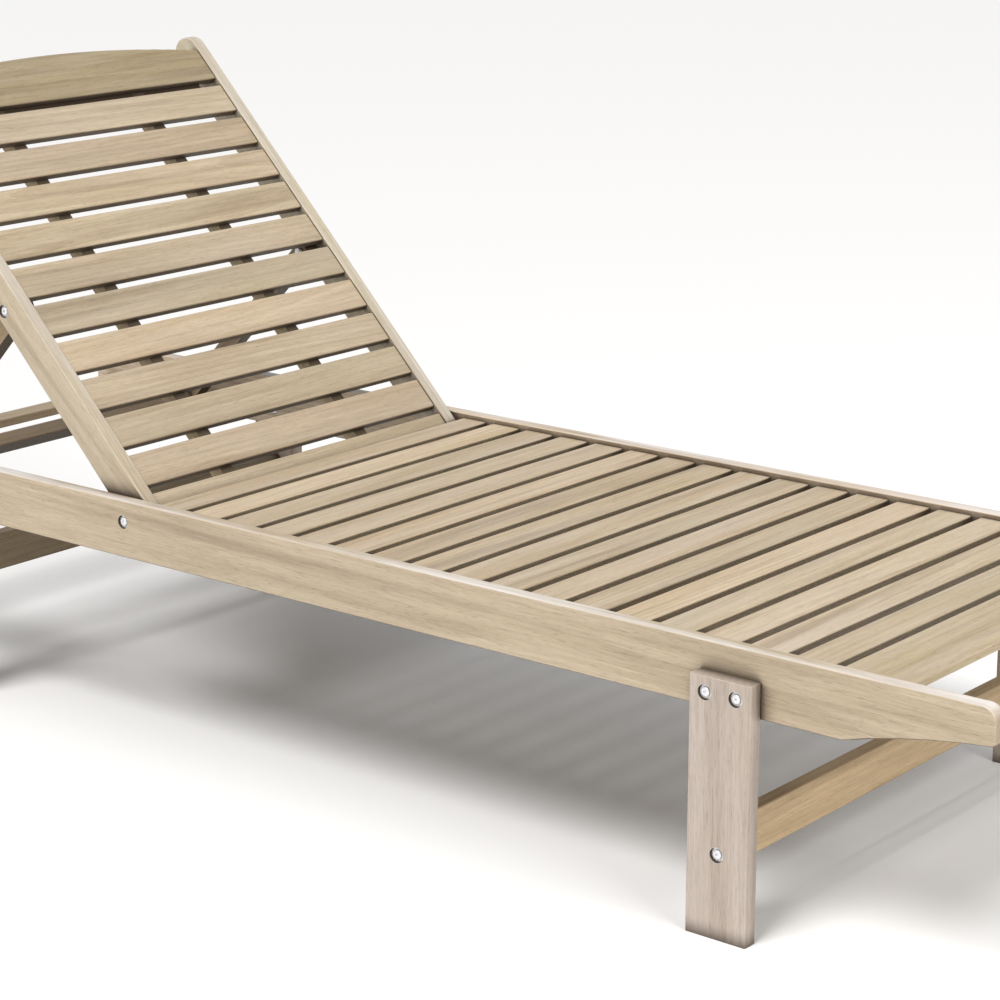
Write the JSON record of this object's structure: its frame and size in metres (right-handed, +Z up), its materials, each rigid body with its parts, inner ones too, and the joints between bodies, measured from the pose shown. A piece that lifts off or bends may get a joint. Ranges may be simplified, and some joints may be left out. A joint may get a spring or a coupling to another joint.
{
  "type": "sun_lounger",
  "caption": "Slatted hardwood sun lounger on square legs, with a hinged reclining backrest held up by a swinging prop on notched racks.",
  "frame": {"origin": "On the ground, under the middle of the lounger's length and width (bottom centre of the box in the stored pose).", "axes": "+X points to the foot end, +Y to the left side of someone lying on it, +Z up. The backrest hinges about Y near the middle of the length."},
  "size_m": [1.986, 0.7, 0.8352],
  "materials": {
    "slat_wood": "light oiled hardwood, satin",
    "frame_wood": "light oiled hardwood, satin",
    "zinc_steel": "bright zinc plated steel"
  },
  "bodies": {
    "frame": {"rail_left": "frame_wood", "rail_right": "frame_wood", "ledger_left": "frame_wood", "ledger_right": "frame_wood", "rack_left": "frame_wood", "rack_right": "frame_wood", "leg_front_left": "frame_wood", "leg_rear_left": "frame_wood", "leg_front_right": "frame_wood", "leg_rear_right": "frame_wood", "stretcher_front": "frame_wood", "stretcher_rear": "frame_wood", "head_cross_rail": "frame_wood", "seat_slat_01": "slat_wood", "seat_slat_02": "slat_wood", "seat_slat_03": "slat_wood", "seat_slat_04": "slat_wood", "seat_slat_05": "slat_wood", "seat_slat_06": "slat_wood", "seat_slat_07": "slat_wood", "seat_slat_08": "slat_wood", "seat_slat_09": "slat_wood", "seat_slat_10": "slat_wood", "seat_slat_11": "slat_wood", "seat_slat_12": "slat_wood", "seat_slat_13": "slat_wood", "seat_slat_14": "slat_wood", "seat_slat_15": "slat_wood", "seat_slat_16": "slat_wood", "seat_slat_17": "slat_wood", "foot_board": "slat_wood", "short_bolts": "zinc_steel", "long_bolts": "zinc_steel", "frame_washers": "zinc_steel", "frame_nuts": "zinc_steel", "barrel_nuts": "zinc_steel", "frame_screws": "zinc_steel"},
    "backrest": {"stile_left": "frame_wood", "stile_right": "frame_wood", "back_batten_left": "frame_wood", "back_batten_right": "frame_wood", "back_slat_lowest": "slat_wood", "back_slat_01": "slat_wood", "back_slat_02": "slat_wood", "back_slat_03": "slat_wood", "back_slat_04": "slat_wood", "back_slat_05": "slat_wood", "back_slat_06": "slat_wood", "back_slat_07": "slat_wood", "back_slat_08": "slat_wood", "back_slat_09": "slat_wood", "back_slat_10": "slat_wood", "top_board": "slat_wood", "back_head_rail": "frame_wood", "prop_bolts": "zinc_steel", "prop_nuts": "zinc_steel", "back_screws": "zinc_steel"},
    "prop": {"prop_arm_left": "frame_wood", "prop_arm_right": "frame_wood", "prop_crossbar": "frame_wood"}
  },
  "joints": [
    {"name": "backrest_recline", "type": "hinge", "parent": "frame", "child": "backrest", "pos_m": [-0.2641, 0, 0.3046], "axis": [0, 1, 0], "range_deg": [-46, 4]},
    {"name": "prop_swing", "type": "hinge", "parent": "backrest", "child": "prop", "pos_m": [-0.50201, 0, 0.54334], "axis": [0, 1, 0], "range_deg": [-8, 92]}
  ],
  "couplings": [
    {"joint": "prop_swing", "follows": "backrest_recline", "ratio": -2}
  ]
}
